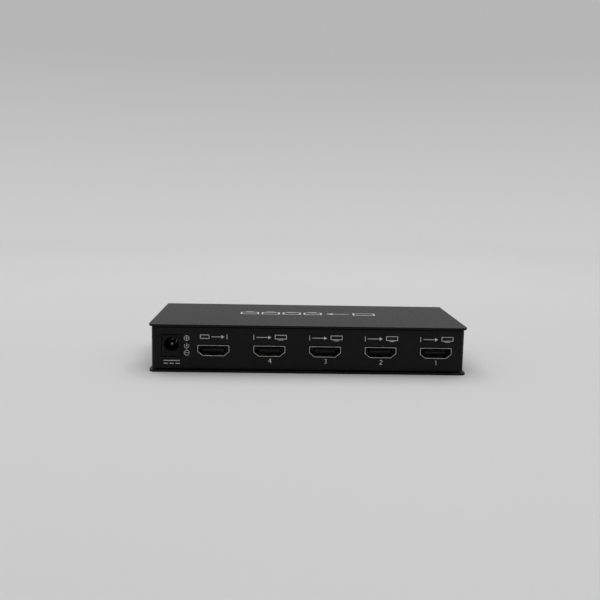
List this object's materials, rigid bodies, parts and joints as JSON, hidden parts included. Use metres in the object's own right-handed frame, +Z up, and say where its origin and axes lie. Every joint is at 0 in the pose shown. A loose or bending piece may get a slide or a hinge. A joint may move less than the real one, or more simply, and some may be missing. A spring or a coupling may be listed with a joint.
{
  "type": "video splitter box",
  "caption": "Low black folded-sheet video splitter box, with its input socket, output sockets and power jack along one side and status lamps along the other.",
  "frame": {"origin": "middle of the underside, on the surface that the box stands on", "axes": "+X along the length, to the right seen from the connector panel; +Y from the connector panel to the lamp face; +Z up"},
  "size_m": [0.145, 0.066, 0.022],
  "materials": {
    "case_coating": "fine matte black powder coat on sheet steel",
    "black_screw": "black oxide",
    "plated_steel": "tin or nickel plate",
    "shell_metal": "satin nickel plate with a warm cast",
    "contact_metal": "thin gold plate",
    "can_metal": "bare aluminium",
    "board": "green solder mask",
    "black_plastic": "moulded black plastic",
    "green_lens": "clear green tinted resin",
    "red_lens": "clear red tinted resin",
    "ferrite": "dark ferrite",
    "print_ink": "pale screen ink",
    "ceramic": "brown ceramic with tinned ends"
  },
  "bodies": {
    "box": {"outer_wrap": "case_coating", "inner_frame": "case_coating", "board_standoffs": "plated_steel", "case_screws": "black_screw", "board_screws": "plated_steel", "main_board": "board", "power_jack_body": "black_plastic", "power_jack_pin": "plated_steel", "power_jack_terminals": "plated_steel", "power_lamp": "red_lens", "lamp_leads": "plated_steel", "splitter_chip": "black_plastic", "splitter_chip_pins": "plated_steel", "voltage_regulator": "black_plastic", "power_inductor": "ferrite", "supply_capacitors": "can_metal", "crystal": "can_metal", "memory_chips": "black_plastic", "surge_arrays": "black_plastic", "small_components": "ceramic", "video_in_shell": "shell_metal", "video_in_insert": "black_plastic", "video_in_contacts": "contact_metal", "video_out_4_shell": "shell_metal", "video_out_4_insert": "black_plastic", "video_out_4_contacts": "contact_metal", "video_out_3_shell": "shell_metal", "video_out_3_insert": "black_plastic", "video_out_3_contacts": "contact_metal", "video_out_2_shell": "shell_metal", "video_out_2_insert": "black_plastic", "video_out_2_contacts": "contact_metal", "video_out_1_shell": "shell_metal", "video_out_1_insert": "black_plastic", "video_out_1_contacts": "contact_metal", "status_lamp_1": "green_lens", "status_lamp_2": "green_lens", "status_lamp_3": "green_lens", "status_lamp_4": "green_lens"},
    "jack_leaf": {"power_jack_leaf": "contact_metal"}
  },
  "joints": [
    {"name": "leaf_flex", "type": "hinge", "parent": "box", "child": "jack_leaf", "pos_m": [-0.0622, -0.02105, 0.00885], "axis": [1, 0, 0], "range_deg": [0, 3.2], "stiffness_Nm_per_rad": 0.35}
  ]
}
